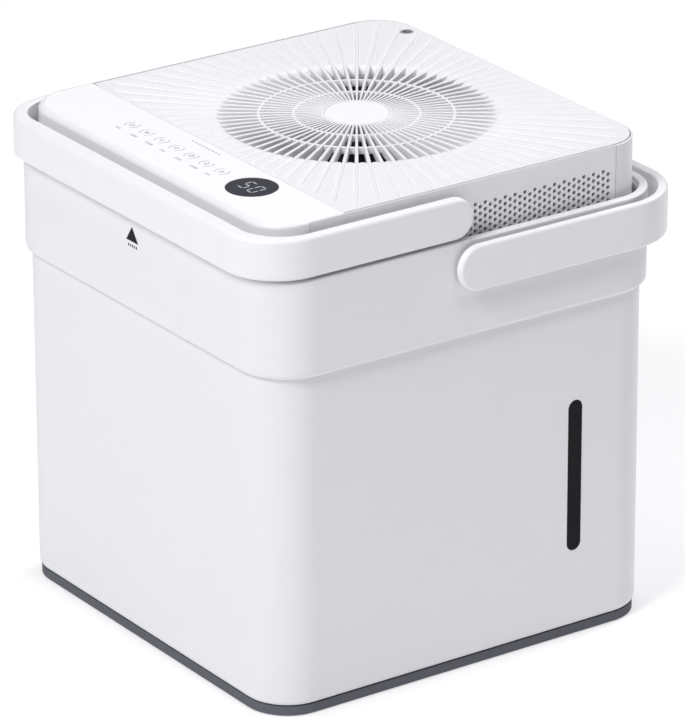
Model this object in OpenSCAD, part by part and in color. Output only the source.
// Cube dehumidifier: a machine head nested in a water bucket, each with its own carrying handle.
// Millimetres. Origin at the middle of the whole object's footprint, on the floor. +Z up, -Y front.

/* [Bucket] */
// Width and depth of the bucket's wall, outside
bucket_w = 320; // [316:1:324]
// Corner radius of the bucket, outside
bucket_r = 33.5; // [30:0.5:36]
// Thickness of the bucket's wall and floor
bucket_wall = 3; // [2.5:0.25:3.5]
// Height of the rubber feet under the bucket
foot_h = 7; // [5:0.5:9]
// Height of the rim's top above the floor
rim_z = 316.3; // [312:0.1:318]
// Lower edge of the collar above the floor
collar_z = 246.7; // [230:0.1:250]
// How far the collar stands out from the bucket's wall
collar_step = 4.5; // [4:0.25:5]

/* [Water window] */
// Length of the window, round ends included
window_len = 112.5; // [80:0.5:130]
// Width of the window
window_w = 12; // [8:0.5:14]
// Distance of the window from the bucket's middle, towards the back
window_y = 89.5; // [60:0.5:95]
// Height of the window's middle above the floor
window_z = 120.6; // [100:0.1:140]

/* [Head] */
// Width and depth of the head's casing, outside
head_w = 308.8; // [306:0.1:310]
// Corner radius of the head's casing
head_r = 30; // [28:0.5:31]
// Height of the head's top above the floor
head_z = 352.6; // [350:0.1:356]
// Height at which the nested head stands on the bucket's posts
seat_z = 125; // [120:1:130]
// Depth of the flat control strip along the front edge
panel_d = 56.2; // [50:0.1:60]

/* [Air outlet] */
// Distance of the fan's axis behind the middle of the head
fan_y = 19.6; // [15:0.1:22]
// Number of radial blades in the outlet
blade_n = 72; // [36:12:72]
// Radius of the outlet's opening
outlet_r = 91; // [85:1:95]
// Radius of the round hub plate in the middle of the outlet
hub_r = 24.8; // [20:0.2:30]

/* [Head handle] */
// Height of the handle's strap
hh_h = 29; // [26:0.5:30]
// Outer half width across the two arms
hh_half = 166; // [165:0.1:166.2]
// Distance of the front bar's outer face from the bucket's middle
hh_front = 172.6; // [171:0.1:174]
// Height of the pivot above the floor
hh_pivot_z = 333; // [332:0.1:334]

/* [Bucket handle] */
// Height of the handle's strap
bh_h = 33; // [28:0.5:33]
// Outer half width across the two arms
bh_half = 172.5; // [172:0.1:174]
// Distance of the back bar's outer face from the bucket's middle
bh_back = 182; // [180:0.5:186]
// Height of the pivot above the floor
bh_pivot_z = 297.7; // [296:0.1:298]

/* [Hidden] */
$fn = 64;

// The two handles reach different distances, so the footprint's middle is off the bucket's middle
mid_y = (hh_front - bh_back) / 2;
bucket_half = bucket_w / 2;
bucket_flat = bucket_half - bucket_r;
inner_half = bucket_half - bucket_wall;
inner_r = bucket_r - bucket_wall;
floor_z = foot_h + bucket_wall;
edge_r = 5;
mat_in = 1.5;
mat_low = 0.4;
foot_r = 15;
foot_at = 118;
collar_half = bucket_half + collar_step;
collar_gap = 0.1;
lip_t = 3;
lip_half = bucket_half - 1.8;
head_half = head_w / 2;
casing_t = 2.5;
casing_z = 262;
lip_in = 1.1;
plate_t = 3;
plate_half = head_half - lip_in - 0.1;
plate_r = head_r - lip_in - 0.1;
plate_z = head_z - plate_t;
seam_y = 125;
seam_gap = 0.25;
panel_back = -(plate_half - panel_d);
shell_half = 150;
shell_r = 28;
shell_t = 2.5;
post_in = 118;
blade_t = 1.6;
blade_d = 7;
ring_r = [43.5, 67.4];
ring_t = 1.8;
hh_t = 8;
hh_front_t = 11.5;
hh_y = -15;
hh_out_r = 41;
hh_in_r = 33;
bh_t = 5.5;
bh_back_t = 8;
bh_out_r = 50;
bh_in_r = 42;
pin_r = 5;
fit = 0.06;
perf_pitch = 8.2;
perf_row = 2.37;
perf_r = 1.5;
perf_span = 118.9;
perf_top = 335.5;
perf_rows = 20;
coil_z0 = 152;
coil_z1 = 284;
coil_y = 108;
tube_r = 4;
rotor_z = 302;
rotor_h = 32;
rotor_r = 86;
shaft_r = 4;
comp_x = -82;
comp_y = 72;
comp_r = 46;
port_x = -116;
port_y = 144;
port_bore_r = 3.2;
collet_r = 4.5;
port_half = 14;
trim_y = 133;
float_x = 60;
float_pin_y = 35;
float_pin_z = 117;
float_y = 90;
inlet_x = 96;
inlet_z = 334;
disp_x = 78.5;
disp_y = -120;
icon_pitch = 18.3;
icon_x0 = -67;

white = [0.93, 0.93, 0.95];
pale = [0.85, 0.85, 0.88];
dark = [0.12, 0.12, 0.14];
grey = [0.55, 0.56, 0.6];
copper = [0.78, 0.46, 0.3];
metal = [0.76, 0.77, 0.8];

// Everything is drawn about the bucket's middle and then moved to the footprint's middle
module place() {
  translate([0, mid_y, 0]) children();
}

// Rectangle of half sizes hx, hy with corners of radius r
module round_rect(hx, hy, r) {
  square([2 * hx, 2 * (hy - r)], center = true);
  square([2 * (hx - r), 2 * hy], center = true);
  for (sx = [-1, 1], sy = [-1, 1])
    translate([sx * (hx - r), sy * (hy - r)]) circle(r = r);
}

// Square ring between two rounded outlines
module ring_wall(out_half, out_r, in_half, in_r, z0, z1) {
  translate([0, 0, z0])
    linear_extrude(z1 - z0)
      difference() {
        round_rect(out_half, out_half, out_r);
        round_rect(in_half, in_half, in_r);
      }
}

// Sweeps a profile round a square with rounded corners. The profile's x starts at the corner's centre.
module sweep_square(flat) {
  for (turn = [0:3])
    rotate(90 * turn) {
      translate([flat, flat, 0]) rotate([90, 0, 0]) linear_extrude(2 * flat) children();
      translate([flat, flat, 0]) rotate_extrude(angle = 90) children();
    }
}

// Bar from one point to another along an axis, given by its low corner and size
module block(low, high) {
  translate(low) cube(high - low);
}

module rod_x(r, x0, x1, y, z) {
  translate([x0, y, z]) rotate([0, 90, 0]) cylinder(r = r, h = x1 - x0);
}

module rod_y(r, y0, y1, x, z) {
  translate([x, y0, z]) rotate([-90, 0, 0]) cylinder(r = r, h = y1 - y0);
}

// ---- bucket side ----

module bucket_profile() {
  arc_x = bucket_r - edge_r;
  translate([inner_r, foot_h + edge_r]) square([bucket_wall, rim_z - lip_t - 0.1 - foot_h - edge_r]);
  translate([0, foot_h]) square([arc_x, bucket_wall]);
  intersection() {
    translate([arc_x, foot_h + edge_r])
      difference() {
        circle(r = edge_r);
        circle(r = edge_r - bucket_wall);
      }
    translate([arc_x, foot_h]) square(edge_r);
  }
}

module bucket() {
  color(white) place()
    difference() {
      union() {
        sweep_square(bucket_flat) bucket_profile();
        block([-bucket_flat, -bucket_flat, foot_h], [bucket_flat, bucket_flat, floor_z]);
        for (sx = [-1, 1], sy = [-1, 1])
          translate([0, 0, floor_z - 0.5])
            linear_extrude(seat_z - floor_z + 0.5)
              intersection() {
                round_rect(inner_half - 6.4, inner_half - 6.4, inner_r - 6.4);
                translate([sx * (post_in + 50), sy * (post_in + 50)]) square(100, center = true);
              }
      }
      translate([inner_half - 1, window_y, window_z]) window_slot(window_w, window_len, bucket_wall + 2);
      for (side = [-1, 1]) {
        rod_x(8.1,
          side > 0 ? inner_half - 1 : -inner_half - 2.1,
          side > 0 ? inner_half + 2.1 : -inner_half + 1,
              0, bh_pivot_z);
        rod_x(pin_r, side > 0 ? inner_half : -bucket_half - 1, side > 0 ? bucket_half + 1 : -inner_half,
              0, bh_pivot_z);
      }
    }
}

// Upright slot with round ends, cut along +X
module window_slot(w, len, depth) {
  translate([0, 0, -(len - w) / 2]) rotate([0, 90, 0]) cylinder(r = w / 2, h = depth);
  translate([0, 0, (len - w) / 2]) rotate([0, 90, 0]) cylinder(r = w / 2, h = depth);
  translate([0, -w / 2, -(len - w) / 2]) cube([depth, w, len - w]);
}

module collar_profile() {
  flat_x = collar_half - bucket_flat;
  bucket_x = bucket_r + collar_gap;
  translate([bucket_x, collar_z + collar_step - collar_gap])
    square([collar_step - collar_gap, rim_z - collar_z - collar_step + collar_gap]);
  intersection() {
    translate([bucket_x, collar_z + collar_step - collar_gap]) circle(r = flat_x - bucket_x);
    translate([bucket_x, collar_z]) square(collar_step);
  }
  translate([lip_half - bucket_flat, rim_z - lip_t]) square([bucket_half - lip_half + collar_gap, lip_t]);
}

module rim_collar() {
  color(white) place()
    difference() {
      sweep_square(bucket_flat) collar_profile();
      rod_x(pin_r, -collar_half - 1, collar_half + 1, 0, bh_pivot_z);
    }
}

// Triangle that shows which way round the head goes in
module align_mark() {
  color(dark) place()
    translate([0, -collar_half, 298.9])
      rotate([90, 0, 0]) linear_extrude(0.3) polygon([[-7, 0], [7, 0], [0, 10.2]]);
}

module water_window() {
  color(dark) place()
    translate([inner_half - 0.8, window_y, window_z])
      difference() {
        window_slot(window_w - 1.2, window_len - 1.2, 3.2);
        translate([-1, 0, 0]) window_slot(window_w - 6, window_len - 6, 2);
      }
}

module window_gasket() {
  color(dark) place()
    translate([inner_half, window_y, window_z])
      difference() {
        window_slot(window_w, window_len, 2.6);
        translate([-1, 0, 0]) window_slot(window_w - 1.2, window_len - 1.2, 5);
      }
}

// Dark rubber mat on the bucket's underside, a little smaller than its walls; the feet stand through it
module base_mat() {
  half = bucket_half - mat_in;
  color(dark) place()
    difference() {
      translate([0, 0, mat_low]) linear_extrude(foot_h - mat_low) round_rect(half, half, bucket_r - mat_in);
      for (sx = [-1, 1], sy = [-1, 1])
        translate([sx * foot_at, sy * foot_at, 0]) cylinder(r = foot_r, h = foot_h + 1);
    }
}

module rubber_feet() {
  color(dark) place()
    for (sx = [-1, 1], sy = [-1, 1])
      translate([sx * foot_at, sy * foot_at, 0])
        difference() {
          cylinder(r = foot_r, h = foot_h);
          translate([0, 0, -1]) cylinder(r = 5, h = 4);
          translate([0, 0, 1]) cylinder(r = 2.1, h = foot_h);
        }
}

module foot_screws() {
  color(metal) place()
    for (sx = [-1, 1], sy = [-1, 1])
      translate([sx * foot_at, sy * foot_at, 3]) {
        translate([0, 0, -2]) cylinder(r = 4, h = 2);
        cylinder(r = 2, h = foot_h - 3);
      }
}

// U-shaped strap that reaches towards +Y, rounded along its outer edges, with a blind bore in each arm
module strap_handle(half, reach, out_r, arm_t, bar_t, in_r, strap_h, round_r, bore_x) {
  flat_x = half - out_r;
  flat_y = reach - out_r;
  difference() {
    union() {
      rotate([-90, 0, 0]) linear_extrude(flat_y) round_rect(half, strap_h / 2, round_r);
      for (side = [0, 1])
        mirror([side, 0, 0]) {
          translate([flat_x, flat_y, 0]) rotate_extrude(angle = 90) strap_edge(out_r, strap_h, round_r);
          rotate([0, 0, 180]) rotate([0, -90, 0])
            rotate_extrude(angle = 360)
              strap_tip(half, strap_h / 2, round_r, half - arm_t);
        }
      translate([-flat_x, flat_y, 0]) rotate([90, 0, 90]) linear_extrude(2 * flat_x)
        strap_edge(out_r, strap_h, round_r);
    }
    translate([0, 0, -strap_h])
      linear_extrude(2 * strap_h)
        difference() {
          translate([0, -reach]) round_rect(half - arm_t, 2 * reach - bar_t, in_r);
          translate([0, -3 * reach]) square([4 * half, 2 * reach], center = true);
        }
    rod_x(pin_r + fit, -bore_x, bore_x, 0, 0);
  }
}

module strap_edge(width, strap_h, round_r) {
  translate([0, -strap_h / 2]) square([width - round_r, strap_h]);
  translate([0, round_r - strap_h / 2]) square([width, strap_h - 2 * round_r]);
  for (side = [-1, 1])
    translate([width - round_r, side * (strap_h / 2 - round_r)]) circle(r = round_r);
}

// Half section of the arm's round end, turned about the pivot
module strap_tip(half, tip_r, round_r, inner) {
  translate([0, inner]) square([tip_r, half - round_r - inner]);
  translate([0, inner]) square([tip_r - round_r, half - inner]);
  translate([tip_r - round_r, half - round_r]) circle(r = round_r);
}

module bucket_handle() {
  color(white) place()
    translate([0, 0, bh_pivot_z])
      strap_handle(bh_half, bh_back, bh_out_r, bh_t, bh_back_t, bh_in_r, bh_h, 2.5, bh_half - 2);
}

module bucket_handle_pins() {
  color(metal) place()
    for (side = [0, 1])
      mirror([side, 0, 0]) {
        rod_x(8, inner_half + 0.1, inner_half + 2.1, 0, bh_pivot_z);
        rod_x(pin_r, inner_half + 2, bh_half - 2.4, 0, bh_pivot_z);
      }
}

// ---- head casing ----

module slot_sector(r0, r1, gap_t) {
  half_0 = PI * r0 / blade_n - gap_t / 2;
  half_1 = PI * r1 / blade_n - gap_t / 2;
  polygon([[r0, -half_0], [r1, -half_1], [r1, half_1], [r0, half_0]]);
}

// Outline of the whole plate behind the control strip
module cover_outline() {
  difference() {
    round_rect(plate_half, plate_half, plate_r);
    translate([0, -plate_half]) square([2 * head_w, 2 * (plate_half + panel_back)], center = true);
  }
}

module top_cover() {
  rings = [hub_r + 1.4, ring_r[0] - ring_t / 2, ring_r[0] + ring_t / 2,
           ring_r[1] - ring_t / 2, ring_r[1] + ring_t / 2, outlet_r];
  color(white) place()
    difference() {
      union() {
        translate([0, 0, plate_z])
          linear_extrude(plate_t)
            difference() {
              cover_outline();
              translate([-head_w, trim_y]) square([2 * head_w, head_w]);
              translate([0, fan_y]) circle(r = outlet_r);
            }
        translate([0, fan_y, head_z - blade_d])
          linear_extrude(blade_d)
            difference() {
              circle(r = outlet_r + 2);
              for (i = [0:blade_n - 1], k = [0:2])
                rotate(360 / blade_n * i) slot_sector(rings[2 * k], rings[2 * k + 1], blade_t);
            }
      }
      translate([0, fan_y, head_z - 1.2]) cylinder(r = 22.5, h = 2);
    }
}

// The plate's rear edge is a separate strip, in two lengths beside the hose port's own plate
module rear_trim() {
  color(white) place()
    translate([0, 0, plate_z])
      linear_extrude(plate_t)
        difference() {
          cover_outline();
          translate([-head_w, trim_y - 2 * head_w]) square([2 * head_w, 2 * head_w]);
          translate([port_x - port_half, 0]) square([2 * port_half, head_w]);
        }
}

module port_plate() {
  color(white) place()
    translate([0, 0, plate_z])
      linear_extrude(plate_t)
        difference() {
          intersection() {
            cover_outline();
            translate([port_x - port_half, trim_y]) square([2 * port_half, head_w]);
          }
          translate([port_x, port_y]) circle(r = collet_r + 0.3);
        }
}

module badge_disc() {
  color(white) place()
    translate([0, fan_y, head_z - 1.2]) cylinder(r = 22.3, h = 1.2);
}

module control_panel() {
  color(white) place()
    difference() {
      translate([0, 0, plate_z])
        linear_extrude(plate_t)
          difference() {
            round_rect(plate_half, plate_half, plate_r);
            translate([0, plate_half])
              square([2 * head_w, 2 * (plate_half - panel_back + 0.15)], center = true);
          }
      translate([disp_x, disp_y, plate_z - 1]) cylinder(r = 15, h = 6);
      translate([disp_x, disp_y, head_z - 1.2]) cylinder(r = 18.1, h = 2);
      for (i = [0:6])
        translate([icon_x0 + icon_pitch * i, disp_y, plate_z - 1]) cylinder(r = 3.2, h = 6);
    }
}

// Seven touch pads let into the strip
module touch_icons() {
  color(grey) place()
    for (i = [0:6])
      translate([icon_x0 + icon_pitch * i, disp_y, plate_z + 0.6]) cylinder(r = 3.1, h = plate_t - 0.6);
}

module display_lens() {
  color(dark) place()
    translate([disp_x, disp_y, head_z - 1.2]) cylinder(r = 18, h = 1.2);
}

module display_board() {
  color([0.1, 0.35, 0.2]) place() {
    block([icon_x0 - 12, disp_y - 12, plate_z - 4.6], [disp_x + 22, disp_y + 12, plate_z - 3]);
    translate([disp_x, disp_y, plate_z - 3]) cylinder(r = 14.5, h = 4);
  }
}

module casing_ring() {
  ring_wall(head_half, head_r, head_half - casing_t, head_r - casing_t, casing_z, plate_z);
  ring_wall(head_half, head_r, head_half - lip_in, head_r - lip_in, plate_z, head_z);
}

module front_casing() {
  color(white) place()
    intersection() {
      casing_ring();
      block([-head_w, -head_w, 0], [head_w, -seam_y - seam_gap, 2 * head_z]);
    }
}

module rear_casing() {
  color(white) place()
    difference() {
      intersection() {
        casing_ring();
        block([-head_w, seam_y + seam_gap, 0], [head_w, head_w, 2 * head_z]);
      }
      block([inlet_x - 14, head_half - 10, inlet_z - 10], [inlet_x + 14, head_half + 10, inlet_z + 10]);
    }
}

module side_panel() {
  difference() {
    translate([head_half - casing_t, 0, 0]) rotate([90, 0, 90])
      linear_extrude(casing_t)
        difference() {
          translate([-seam_y, casing_z]) square([2 * seam_y, head_z - casing_z]);
          for (row = [0:perf_rows - 1], i = [0:29])
            if (hole_y(row, i) < perf_span + perf_r && away_from_pin(row, i))
              translate([hole_y(row, i), perf_top - perf_row * row]) circle(r = perf_r);
          translate([hh_y, hh_pivot_z]) circle(r = pin_r);
        }
    block([head_half - casing_t - 1, -seam_y - 1, plate_z], [head_half - lip_in, seam_y + 1, head_z + 1]);
  }
}

function hole_y(row, i) = -perf_span + perf_pitch * (i + (1 - row % 2) / 2);
function away_from_pin(row, i) =
  norm([hole_y(row, i) - hh_y, perf_top - perf_row * row - hh_pivot_z]) > 13;

module side_panel_right() {
  color(pale) place() side_panel();
}

module side_panel_left() {
  color(pale) place() mirror([1, 0, 0]) side_panel();
}

screw_at = 138;

module casing_screws() {
  color(metal) place()
    for (sx = [-1, 1], sy = [-1, 1])
      translate([sx * screw_at, sy * screw_at, casing_z - 4]) {
        translate([0, 0, -2.2]) cylinder(r = 3.6, h = 2.2);
        cylinder(r = 1.8, h = 14);
      }
}

module lower_shell() {
  color(pale) place()
    difference() {
      union() {
        translate([0, 0, seat_z])
          linear_extrude(casing_z - seat_z) round_rect(shell_half, shell_half, shell_r);
        translate([0, 0, casing_z - 4])
          linear_extrude(4) round_rect(head_half - 0.2, head_half - 0.2, head_r - 0.2);
      }
      translate([0, 0, seat_z + shell_t])
        linear_extrude(casing_z)
          difference() {
            round_rect(shell_half - shell_t, shell_half - shell_t, shell_r - shell_t);
            for (sx = [-1, 1], sy = [-1, 1])
              translate([sx * screw_at, sy * screw_at]) circle(r = 6);
          }
      for (sx = [-1, 1], sy = [-1, 1])
        translate([sx * screw_at, sy * screw_at, casing_z - 40]) {
          cylinder(r = 1.85, h = 60);
          cylinder(r = 3.9, h = 36);
        }
      translate([20, 0, seat_z - 1]) cylinder(r = 7, h = 10);
    }
}

// Tray under the two coils, with a spout through the shell's floor
module drip_tray() {
  color(pale) place()
    difference() {
      union() {
        block([92, -112, 138], [144, 112, 148]);
        block([14, -6, 138], [92, 6, 142]);
        translate([20, 0, seat_z - 3]) cylinder(r = 6.8, h = 17);
      }
      block([94, -110, 140], [142, 110, 150]);
      block([20, -4, 140], [100, 4, 150]);
      translate([20, 0, seat_z - 4]) cylinder(r = 4, h = 40);
    }
}

module air_filter() {
  x0 = head_half - casing_t - 4.2;
  block([x0, -116, 278], [x0 + 4, 116, 282]);
  block([x0, -116, 318], [x0 + 4, 116, 322]);
  for (i = [0:8])
    translate([x0, -116 + 28.5 * i, 282]) cube([4, 4, 36]);
  block([x0 + 1.6, -112, 282], [x0 + 2.4, 112, 318]);
}

module air_filter_right() {
  color(grey) place() air_filter();
}

module air_filter_left() {
  color(grey) place() mirror([1, 0, 0]) air_filter();
}

module head_handle() {
  color(white) place()
    translate([0, hh_y, hh_pivot_z]) mirror([0, 1, 0])
      strap_handle(hh_half, hh_front + hh_y, hh_out_r, hh_t, hh_front_t, hh_in_r, hh_h, 3, hh_half - 2);
}

module head_handle_pins() {
  color(metal) place()
    for (side = [0, 1])
      mirror([side, 0, 0]) {
        rod_x(8, head_half - casing_t - 2, head_half - casing_t, hh_y, hh_pivot_z);
        rod_x(pin_r, head_half - casing_t - 1, hh_half - 2.4, hh_y, hh_pivot_z);
      }
}

module head_handle_bushes() {
  color(grey) place()
    for (side = [0, 1])
      mirror([side, 0, 0])
        difference() {
          rod_x(9, head_half, hh_half - hh_t - 0.4, hh_y, hh_pivot_z);
          rod_x(pin_r, head_half - 1, hh_half, hh_y, hh_pivot_z);
        }
}

// ---- cooling circuit ----

// Two columns of four tube places in a coil of the given middle
function coil_places(x) =
  [for (row = [0:3], col = [-1, 1]) [x + col * 4.2, coil_z0 + 18 + 32 * row + 8 * col]];

module coil_fins(x) {
  fin_n = 22;
  for (i = [0:fin_n - 1])
    translate([0, -coil_y + 6 + i * (2 * coil_y - 12) / (fin_n - 1), 0])
      rotate([90, 0, 0])
        linear_extrude(0.8, center = true)
          difference() {
            translate([x - 9, coil_z0]) square([18, coil_z1 - coil_z0]);
            for (p = coil_places(x)) translate(p) circle(r = tube_r + fit);
          }
}

module coil_tubes(x) {
  for (p = coil_places(x)) rod_y(tube_r, -coil_y, coil_y, p[0], p[1]);
  for (row = [0:3])
    translate([x, coil_y, coil_z0 + 18 + 32 * row]) coil_bend();
  for (row = [0:2])
    translate([x, -coil_y, coil_z0 + 34 + 32 * row]) rotate([0, 0, 180]) coil_bend();
}

// Half turn that joins two neighbouring tubes, a little wider than they are
module coil_bend() {
  rotate([0, -atan2(16, 8.4), 0])
    rotate_extrude(angle = 180)
      translate([norm([8.4, 16]) / 2, 0]) circle(r = tube_r + 0.4);
}

module evaporator_fins() {
  color(metal) place() coil_fins(130);
}

module evaporator_tubes() {
  color(copper) place() coil_tubes(130);
}

module condenser_fins() {
  color(metal) place() coil_fins(106);
}

module condenser_tubes() {
  color(copper) place() coil_tubes(106);
}

module compressor() {
  color(dark) place()
    translate([comp_x, comp_y, 0]) {
      translate([0, 0, 152]) cylinder(r = comp_r, h = 84);
      translate([0, 0, 236]) cylinder(r1 = comp_r, r2 = 26, h = 12);
      translate([0, 0, 248]) cylinder(r = 14, h = 6);
      translate([0, 0, 144]) cylinder(r1 = 30, r2 = comp_r, h = 8);
      for (a = [30, 150, 270])
        rotate(a)
          difference() {
            block([20, -9, 141], [58, 9, 145]);
            translate([52, 0, 140]) cylinder(r = 4, h = 6);
          }
    }
}

module compressor_feet() {
  color(grey) place()
    translate([comp_x, comp_y, 0])
      for (a = [30, 150, 270])
        rotate(a) translate([52, 0, seat_z + shell_t]) {
          cylinder(r = 8, h = 141 - seat_z - shell_t);
          cylinder(r = 3.8, h = 18);
        }
}

module accumulator() {
  color(dark) place()
    translate([-24, 118, 160]) {
      cylinder(r = 14, h = 62);
      translate([0, 0, 62]) cylinder(r1 = 14, r2 = 4, h = 8);
      translate([0, 0, -8]) cylinder(r1 = 4, r2 = 14, h = 8);
    }
}

// Coiled throttle tube, shown as its stacked turns
module capillary_tube() {
  color(copper) place()
    translate([30, 112, 176])
      for (i = [0:4])
        translate([0, 0, 3.4 * i]) rotate_extrude() translate([18, 0]) circle(r = 1.5);
}

// ---- fan ----

module fan_rotor() {
  color(grey) place()
    translate([0, fan_y, rotor_z])
      difference() {
        union() {
          cylinder(r = 24, h = rotor_h);
          for (i = [0:6])
            rotate(360 / 7 * i)
              translate([22, 0, rotor_h / 2]) rotate([32, 0, 0]) translate([0, -15, -1.2])
                cube([58, 30, 2.4]);
          difference() {
            cylinder(r = rotor_r - 3, h = rotor_h);
            translate([0, 0, -1]) cylinder(r = rotor_r - 5, h = rotor_h + 2);
          }
        }
        translate([0, 0, -1]) cylinder(r = 21, h = rotor_h - 4);
        translate([0, 0, -1]) cylinder(r = shaft_r, h = rotor_h + 2);
      }
}

module fan_shaft() {
  color(metal) place()
    translate([0, fan_y, 258]) cylinder(r = shaft_r, h = rotor_z + rotor_h + 5 - 258);
}

module fan_nut() {
  color(metal) place()
    translate([0, fan_y, rotor_z + rotor_h])
      difference() {
        cylinder(r = 7.5, h = 4, $fn = 6);
        translate([0, 0, -1]) cylinder(r = shaft_r, h = 6);
      }
}

module fan_shroud() {
  color(pale) place()
    translate([0, fan_y, 0])
      difference() {
        union() {
          translate([0, 0, 298]) cylinder(r = 90, h = 41);
          translate([0, -fan_y, 294]) linear_extrude(3) round_rect(132, 132, 20);
          translate([0, 0, 295]) cylinder(r = 90, h = 5);
        }
        translate([0, 0, 290]) cylinder(r = rotor_r + 2, h = 60);
        translate([port_x, port_y - fan_y, 290]) cylinder(r = 30, h = 60);
      }
}

module fan_motor() {
  color(metal) place()
    translate([0, fan_y, 0])
      difference() {
        union() {
          translate([0, 0, 262]) cylinder(r = 38, h = 30);
          translate([0, 0, 292]) cylinder(r = 14, h = 6);
          translate([0, 0, 256]) cylinder(r = 14, h = 6);
        }
        translate([0, 0, 250]) cylinder(r = shaft_r + fit, h = 60);
      }
}

module motor_bracket() {
  color(metal) place()
    difference() {
      union() {
        block([-92, fan_y - 9, 259.5], [88, fan_y + 9, 262]);
        translate([0, fan_y, 259.5]) cylinder(r = 26, h = 2.5);
        block([-92, fan_y - 9, 262], [-89.5, fan_y + 9, 294]);
        block([85.5, fan_y - 9, 262], [88, fan_y + 9, 294]);
      }
      translate([0, fan_y, 250]) cylinder(r = 14.2, h = 30);
    }
}

// ---- controls ----

module control_box() {
  color(pale) place()
    difference() {
      block([-128, -130, 200], [0, -66, 252]);
      block([-126, -128, 202], [-2, -68, 260]);
    }
}

module main_board() {
  color([0.1, 0.35, 0.2]) place() {
    block([-124, -126, 208], [-6, -70, 209.6]);
    block([-120, -120, 209.6], [-90, -90, 236]);
    block([-76, -124, 209.6], [-58, -104, 225]);
    for (i = [0:3]) translate([-48 + 10 * i, -84, 209.6]) cylinder(r = 4, h = 14);
    block([-48, -124, 209.6], [-16, -112, 218]);
  }
}

module run_capacitor() {
  color(pale) place() {
    translate([-110, -44, seat_z + shell_t]) cylinder(r = 17, h = 192 - seat_z - shell_t);
    translate([-116, -44, 192]) cylinder(r = 2, h = 5);
    translate([-104, -44, 192]) cylinder(r = 2, h = 5);
  }
}

module humidity_sensor() {
  color([0.1, 0.35, 0.2]) place() {
    block([-143, -70, 284], [-140, -48, 306]);
    block([-140, -64, 290], [-136, -54, 300]);
  }
}

// ---- pump ----

module pump() {
  color(grey) place()
    translate([20, -86, 0]) {
      translate([0, 0, 134]) cylinder(r = 24, h = 34);
      translate([0, 0, 168]) cylinder(r = 18, h = 26);
      translate([0, 0, seat_z + shell_t]) cylinder(r = 12, h = 134 - seat_z - shell_t);
      rod_y(3.4, 22, 42, 0, 150);
    }
}

module tube_elbow(turn_r) {
  rotate_extrude(angle = 90) translate([turn_r, 0]) circle(r = 3.2);
}

// Clear hose from the pump's outlet to the port in the top
module pump_hose() {
  color(pale) place() {
    rod_y(3.2, -44, 130, 20, 150);
    translate([8, 130, 150]) tube_elbow(12);
    rod_x(3.2, port_x + 12, 8, port_y - 2, 150);
    translate([port_x + 12, port_y - 2, 162]) rotate([90, 180, 0]) tube_elbow(12);
    translate([port_x, port_y - 2, 162]) cylinder(r = 3.2, h = 158 - 0.2);
  }
}

module pump_port() {
  color(grey) place()
    translate([port_x, port_y, 0])
      difference() {
        translate([0, -1.4, 320]) cylinder(r = 6.4, h = plate_z - 320);
        translate([0, 0, 322]) cylinder(r = port_bore_r, h = 40);
        translate([0, 0, 340]) cylinder(r = collet_r + 0.08, h = 40);
      }
}

module pump_collet() {
  color(grey) place()
    translate([port_x, port_y, 341.6])
      difference() {
        cylinder(r = collet_r, h = head_z - 0.1 - 341.6);
        translate([0, 0, -1]) cylinder(r = port_bore_r + 0.15, h = 20);
      }
}

// ---- float ----

module float() {
  color(white) place()
    difference() {
      union() {
        translate([float_x, float_y, 93]) cylinder(r = 14, h = 18);
        block([float_x - 3, float_pin_y, 110], [float_x + 3, float_y, 115]);
        rod_x(5, float_x - 3, float_x + 3, float_pin_y, float_pin_z);
      }
      rod_x(2 + fit, float_x - 5, float_x + 5, float_pin_y, float_pin_z);
    }
}

module float_bracket() {
  color(pale) place()
    difference() {
      union()
        for (side = [-1, 1])
          translate([float_x + side * 5.5, 0, 0])
            block([-1.5, float_pin_y - 6, 110], [1.5, float_pin_y + 6, seat_z]);
      rod_x(2, float_x - 9, float_x + 9, float_pin_y, float_pin_z);
    }
}

module float_pin() {
  color(metal) place()
    rod_x(2, float_x - 8, float_x + 8, float_pin_y, float_pin_z);
}

// Reed switch on the shell's floor, over the magnet in the float
module float_switch() {
  color(dark) place() {
    block([float_x - 8, float_y - 10, seat_z + shell_t], [float_x + 8, float_y + 10, seat_z + shell_t + 8]);
    rod_y(1.5, float_y + 10, float_y + 16, float_x, seat_z + shell_t + 4);
  }
}

// Appliance inlet in the rear wall
module power_inlet() {
  color(dark) place() {
    difference() {
      block([inlet_x - 14, head_half - 22, inlet_z - 10], [inlet_x + 14, head_half, inlet_z + 10]);
      block([inlet_x - 12, head_half - 18, inlet_z - 8], [inlet_x + 12, head_half + 1, inlet_z + 8]);
    }
    for (i = [-1:1])
      block(
        [inlet_x + 7 * i - 1, head_half - 19, inlet_z - 2],
        [inlet_x + 7 * i + 1, head_half - 6.5, inlet_z + 2]
      );
  }
}

bucket();
rim_collar();
align_mark();
water_window();
window_gasket();
base_mat();
rubber_feet();
foot_screws();
bucket_handle();
bucket_handle_pins();
top_cover();
rear_trim();
port_plate();
badge_disc();
control_panel();
touch_icons();
display_lens();
display_board();
front_casing();
side_panel_right();
side_panel_left();
rear_casing();
casing_screws();
lower_shell();
drip_tray();
air_filter_right();
air_filter_left();
head_handle();
head_handle_pins();
head_handle_bushes();
evaporator_fins();
evaporator_tubes();
condenser_fins();
condenser_tubes();
compressor();
compressor_feet();
accumulator();
capillary_tube();
fan_rotor();
fan_shaft();
fan_nut();
fan_shroud();
fan_motor();
motor_bracket();
control_box();
main_board();
run_capacitor();
humidity_sensor();
pump();
pump_hose();
pump_port();
pump_collet();
float();
float_bracket();
float_pin();
float_switch();
power_inlet();
